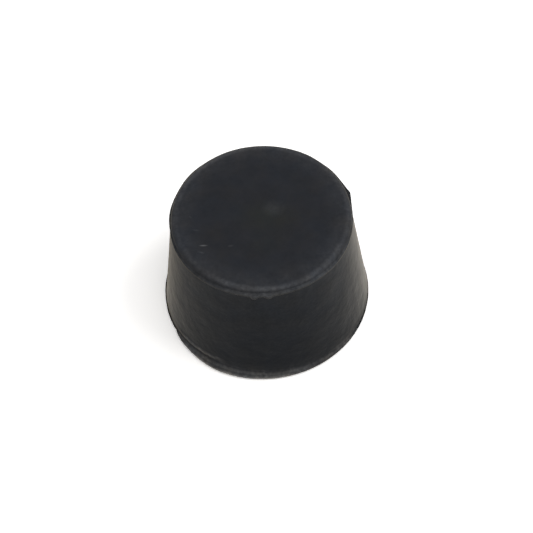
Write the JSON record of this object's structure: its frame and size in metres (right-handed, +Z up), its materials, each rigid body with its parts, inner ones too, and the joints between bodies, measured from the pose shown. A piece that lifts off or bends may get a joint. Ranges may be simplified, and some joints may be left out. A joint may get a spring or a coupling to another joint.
{
  "type": "rubber stopper",
  "caption": "Solid tapered rubber stopper with no hole, standing on its large end, with trimmed moulding flash on both rims; it plugs the round neck of a flask, bottle or tube.",
  "frame": {"origin": "centre of the large end's flat face, on the surface that the stopper stands on", "axes": "+Z up the taper's axis, from the large end to the small end; +X to the right and +Y away from the viewer in the picture"},
  "size_m": [0.041, 0.0415, 0.0254],
  "materials": {
    "rubber": "moulded black rubber, satin, with faint bloom and scuffs"
  },
  "bodies": {
    "root": {"rubber_stopper": "rubber"}
  },
  "joints": []
}
